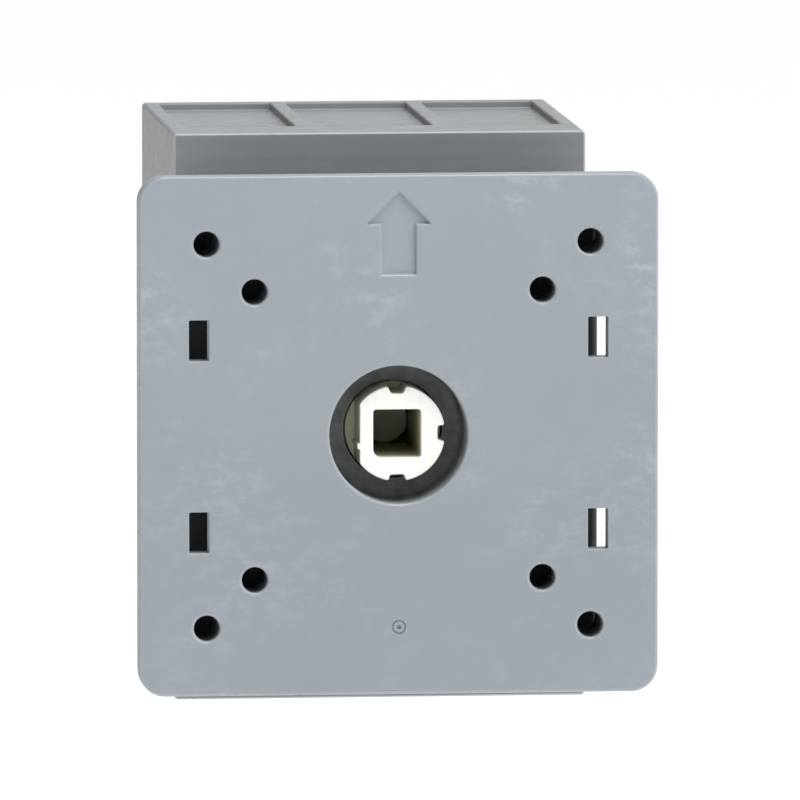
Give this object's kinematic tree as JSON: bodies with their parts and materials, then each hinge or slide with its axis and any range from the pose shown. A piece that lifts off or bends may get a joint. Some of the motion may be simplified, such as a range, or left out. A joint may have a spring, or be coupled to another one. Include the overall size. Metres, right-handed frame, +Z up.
{
  "type": "rotary isolator switch",
  "caption": "Door-mounted rotary switch-disconnector: square front plate, white drive hub with a square shaft socket, neck and terminal housing with clamps above and below.",
  "frame": {"origin": "centre of the front plate's front face, on the hub's axis", "axes": "+X to the right seen from the door, +Y from the door into the enclosure, +Z up"},
  "size_m": [0.065, 0.071, 0.0716],
  "materials": {
    "light_grey_plastic": "matt",
    "body_grey_plastic": "matt",
    "black_plastic": "matt",
    "white_plastic": "satin",
    "zinc_steel": "satin, zinc plated",
    "spring_steel": "satin",
    "copper": "satin",
    "silvered_copper": "satin, silver plated"
  },
  "bodies": {
    "housing": {"front_plate": "light_grey_plastic", "mechanism_housing": "black_plastic", "bearing_plate": "light_grey_plastic", "terminal_housing": "body_grey_plastic", "rear_cover": "black_plastic", "housing_screws": "zinc_steel", "cover_screws": "zinc_steel", "line_contact_1": "silvered_copper", "line_contact_2": "silvered_copper", "line_contact_3": "silvered_copper", "load_contact_1": "silvered_copper", "load_contact_2": "silvered_copper", "load_contact_3": "silvered_copper"},
    "hub": {"drive_hub": "white_plastic", "snap_spring": "spring_steel"},
    "cam": {"snap_cam": "black_plastic"},
    "slider": {"contact_slider": "black_plastic", "bridge_contact_1": "copper", "bridge_contact_2": "copper", "bridge_contact_3": "copper", "contact_spring_1": "spring_steel", "contact_spring_2": "spring_steel", "contact_spring_3": "spring_steel"},
    "line_screw_body_1": {"line_screw_1": "zinc_steel"},
    "line_cage_body_1": {"line_cage_1": "zinc_steel"},
    "line_screw_body_2": {"line_screw_2": "zinc_steel"},
    "line_cage_body_2": {"line_cage_2": "zinc_steel"},
    "line_screw_body_3": {"line_screw_3": "zinc_steel"},
    "line_cage_body_3": {"line_cage_3": "zinc_steel"},
    "load_screw_body_1": {"load_screw_1": "zinc_steel"},
    "load_cage_body_1": {"load_cage_1": "zinc_steel"},
    "load_screw_body_2": {"load_screw_2": "zinc_steel"},
    "load_cage_body_2": {"load_cage_2": "zinc_steel"},
    "load_screw_body_3": {"load_screw_3": "zinc_steel"},
    "load_cage_body_3": {"load_cage_3": "zinc_steel"}
  },
  "joints": [
    {"name": "hub_turn", "type": "hinge", "parent": "housing", "child": "hub", "pos_m": [0, 0.011, 0], "axis": [0, 1, 0], "range_deg": [0, 90]},
    {"name": "cam_turn", "type": "hinge", "parent": "housing", "child": "cam", "pos_m": [0, 0.025, 0], "axis": [0, 1, 0], "range_deg": [0, 90]},
    {"name": "slider_shift", "type": "slide", "parent": "housing", "child": "slider", "axis": [1, 0, 0], "range_m": [0, 0.00817]},
    {"name": "line_screw_turn_1", "type": "hinge", "parent": "housing", "child": "line_screw_body_1", "pos_m": [-0.0172, 0.06, 0.0268], "axis": [0, -1, 0], "range_deg": [0, 3600]},
    {"name": "line_cage_rise_1", "type": "slide", "parent": "housing", "child": "line_cage_body_1", "axis": [0, 1, 0], "range_m": [0, 0.008]},
    {"name": "line_screw_turn_2", "type": "hinge", "parent": "housing", "child": "line_screw_body_2", "pos_m": [0, 0.06, 0.0268], "axis": [0, -1, 0], "range_deg": [0, 3600]},
    {"name": "line_cage_rise_2", "type": "slide", "parent": "housing", "child": "line_cage_body_2", "axis": [0, 1, 0], "range_m": [0, 0.008]},
    {"name": "line_screw_turn_3", "type": "hinge", "parent": "housing", "child": "line_screw_body_3", "pos_m": [0.0172, 0.06, 0.0268], "axis": [0, -1, 0], "range_deg": [0, 3600]},
    {"name": "line_cage_rise_3", "type": "slide", "parent": "housing", "child": "line_cage_body_3", "axis": [0, 1, 0], "range_m": [0, 0.008]},
    {"name": "load_screw_turn_1", "type": "hinge", "parent": "housing", "child": "load_screw_body_1", "pos_m": [-0.0172, 0.06, -0.0268], "axis": [0, -1, 0], "range_deg": [0, 3600]},
    {"name": "load_cage_rise_1", "type": "slide", "parent": "housing", "child": "load_cage_body_1", "axis": [0, 1, 0], "range_m": [0, 0.008]},
    {"name": "load_screw_turn_2", "type": "hinge", "parent": "housing", "child": "load_screw_body_2", "pos_m": [0, 0.06, -0.0268], "axis": [0, -1, 0], "range_deg": [0, 3600]},
    {"name": "load_cage_rise_2", "type": "slide", "parent": "housing", "child": "load_cage_body_2", "axis": [0, 1, 0], "range_m": [0, 0.008]},
    {"name": "load_screw_turn_3", "type": "hinge", "parent": "housing", "child": "load_screw_body_3", "pos_m": [0.0172, 0.06, -0.0268], "axis": [0, -1, 0], "range_deg": [0, 3600]},
    {"name": "load_cage_rise_3", "type": "slide", "parent": "housing", "child": "load_cage_body_3", "axis": [0, 1, 0], "range_m": [0, 0.008]}
  ],
  "couplings": [
    {"joint": "hub_turn", "follows": "slider_shift", "rad_per_m": 192.31},
    {"joint": "cam_turn", "follows": "slider_shift", "rad_per_m": 192.31},
    {"joint": "line_screw_turn_1", "follows": "line_cage_rise_1", "rad_per_m": 7854},
    {"joint": "line_screw_turn_2", "follows": "line_cage_rise_2", "rad_per_m": 7854},
    {"joint": "line_screw_turn_3", "follows": "line_cage_rise_3", "rad_per_m": 7854},
    {"joint": "load_screw_turn_1", "follows": "load_cage_rise_1", "rad_per_m": 7854},
    {"joint": "load_screw_turn_2", "follows": "load_cage_rise_2", "rad_per_m": 7854},
    {"joint": "load_screw_turn_3", "follows": "load_cage_rise_3", "rad_per_m": 7854}
  ]
}
